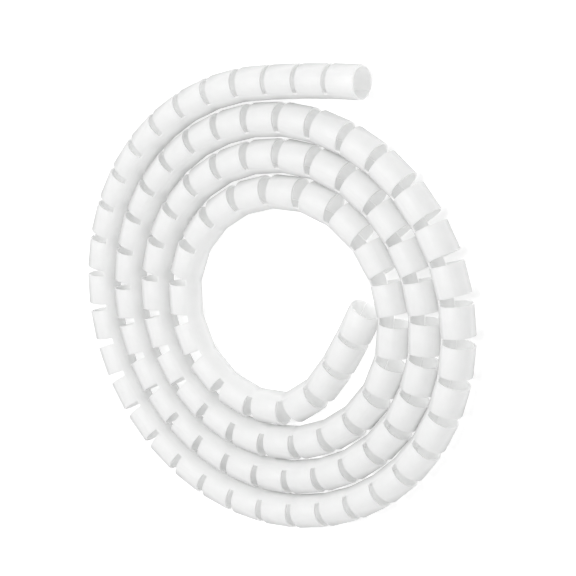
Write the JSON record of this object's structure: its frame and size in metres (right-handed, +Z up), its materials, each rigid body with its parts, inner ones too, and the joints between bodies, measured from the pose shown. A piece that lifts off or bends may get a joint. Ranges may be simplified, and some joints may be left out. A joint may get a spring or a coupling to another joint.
{
  "type": "spiral cable wrap",
  "caption": "Slotted plastic cable wrap, a split tube with a row of fingers along one spine, lying coiled flat with its outer end free.",
  "frame": {"origin": "centre of the coil's box, at the level of the floor that it rests on", "axes": "+Z up through the middle of the flat coil, +Y towards the run that ends in the free outer end, which points to +X"},
  "size_m": [0.2774, 0.282, 0.02],
  "materials": {
    "white_polyethylene": "satin"
  },
  "bodies": {
    "root": {"spiral_wrap": "white_polyethylene"}
  },
  "joints": []
}
